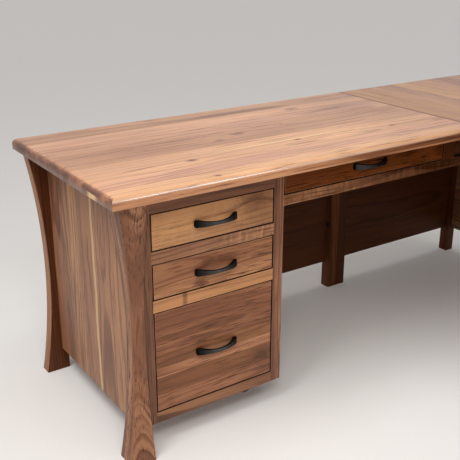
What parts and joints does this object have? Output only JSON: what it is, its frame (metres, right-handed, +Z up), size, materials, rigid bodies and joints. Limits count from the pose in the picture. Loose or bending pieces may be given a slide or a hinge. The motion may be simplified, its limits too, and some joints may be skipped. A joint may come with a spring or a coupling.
{
  "type": "corner desk",
  "caption": "L-shaped walnut corner desk on flared legs, with a drawer pedestal, a kneehole drawer and a return with panelled sides.",
  "frame": {"origin": "middle of the footprint, on the floor", "axes": "+X along the main desk from the pedestal to the return, +Y from the sitter to the wall, +Z up"},
  "size_m": [1.9102, 1.524, 0.762],
  "materials": {
    "walnut_top": "satin clear lacquer",
    "walnut_front": "satin clear lacquer",
    "walnut_frame": "satin clear lacquer",
    "walnut_panel": "satin clear lacquer",
    "drawer_box_wood": "clear lacquer",
    "pull_black": "matte black",
    "slide_steel": "zinc plated",
    "bolt_steel": "plain"
  },
  "bodies": {
    "desk": {"drawer_hanger": "walnut_frame", "end_panel_left": "walnut_panel", "kneehole_rail": "walnut_frame", "kneehole_stile": "walnut_frame", "kneehole_top_rail": "walnut_frame", "leg_back_left": "walnut_frame", "leg_front_left": "walnut_frame", "main_top": "walnut_top", "modesty_panel": "walnut_panel", "pedestal_back": "walnut_panel", "pedestal_bottom": "walnut_frame", "pedestal_feet": "walnut_frame", "pedestal_inner_side": "walnut_panel", "post_bolts": "bolt_steel", "post_corner": "walnut_frame", "post_main": "walnut_frame", "post_return": "walnut_frame", "rail_bottom": "walnut_frame", "rail_lower": "walnut_frame", "rail_top": "walnut_frame", "rail_upper": "walnut_frame", "return_apron": "walnut_frame", "return_back_panel": "walnut_panel", "return_end_panel": "walnut_panel", "return_leg_inner": "walnut_frame", "return_leg_outer": "walnut_frame", "return_side_panel": "walnut_panel", "return_top": "walnut_top", "slide_blocks": "walnut_frame", "slide_cabinet_members": "slide_steel", "stile_left": "walnut_frame", "stile_right": "walnut_frame"},
    "drawer_top": {"drawer_top_box_bottom": "drawer_box_wood", "drawer_top_box_ends": "drawer_box_wood", "drawer_top_box_sides": "drawer_box_wood", "drawer_top_front": "walnut_front", "drawer_top_pull": "pull_black", "drawer_top_slide_runner": "slide_steel"},
    "drawer_top_carriage": {"drawer_top_slide_middle": "slide_steel"},
    "drawer_middle": {"drawer_middle_box_bottom": "drawer_box_wood", "drawer_middle_box_ends": "drawer_box_wood", "drawer_middle_box_sides": "drawer_box_wood", "drawer_middle_front": "walnut_front", "drawer_middle_pull": "pull_black", "drawer_middle_slide_runner": "slide_steel"},
    "drawer_middle_carriage": {"drawer_middle_slide_middle": "slide_steel"},
    "drawer_file": {"drawer_file_box_bottom": "drawer_box_wood", "drawer_file_box_ends": "drawer_box_wood", "drawer_file_box_sides": "drawer_box_wood", "drawer_file_front": "walnut_front", "drawer_file_pull": "pull_black", "drawer_file_slide_runner": "slide_steel"},
    "drawer_file_carriage": {"drawer_file_slide_middle": "slide_steel"},
    "drawer_kneehole": {"drawer_kneehole_box_bottom": "drawer_box_wood", "drawer_kneehole_box_ends": "drawer_box_wood", "drawer_kneehole_box_sides": "drawer_box_wood", "drawer_kneehole_front": "walnut_front", "drawer_kneehole_pull": "pull_black", "drawer_kneehole_slide_runner": "slide_steel"},
    "drawer_kneehole_carriage": {"drawer_kneehole_slide_middle": "slide_steel"}
  },
  "joints": [
    {"name": "drawer_top_slide", "type": "slide", "parent": "desk", "child": "drawer_top", "axis": [0, -1, 0], "range_m": [0, 0.4]},
    {"name": "drawer_top_carriage_slide", "type": "slide", "parent": "desk", "child": "drawer_top_carriage", "axis": [0, -1, 0], "range_m": [0, 0.2]},
    {"name": "drawer_middle_slide", "type": "slide", "parent": "desk", "child": "drawer_middle", "axis": [0, -1, 0], "range_m": [0, 0.4]},
    {"name": "drawer_middle_carriage_slide", "type": "slide", "parent": "desk", "child": "drawer_middle_carriage", "axis": [0, -1, 0], "range_m": [0, 0.2]},
    {"name": "drawer_file_slide", "type": "slide", "parent": "desk", "child": "drawer_file", "axis": [0, -1, 0], "range_m": [0, 0.4]},
    {"name": "drawer_file_carriage_slide", "type": "slide", "parent": "desk", "child": "drawer_file_carriage", "axis": [0, -1, 0], "range_m": [0, 0.2]},
    {"name": "drawer_kneehole_slide", "type": "slide", "parent": "desk", "child": "drawer_kneehole", "axis": [0, -1, 0], "range_m": [0, 0.4]},
    {"name": "drawer_kneehole_carriage_slide", "type": "slide", "parent": "desk", "child": "drawer_kneehole_carriage", "axis": [0, -1, 0], "range_m": [0, 0.2]}
  ],
  "couplings": [
    {"joint": "drawer_top_carriage_slide", "follows": "drawer_top_slide", "ratio": 0.5},
    {"joint": "drawer_middle_carriage_slide", "follows": "drawer_middle_slide", "ratio": 0.5},
    {"joint": "drawer_file_carriage_slide", "follows": "drawer_file_slide", "ratio": 0.5},
    {"joint": "drawer_kneehole_carriage_slide", "follows": "drawer_kneehole_slide", "ratio": 0.5}
  ]
}
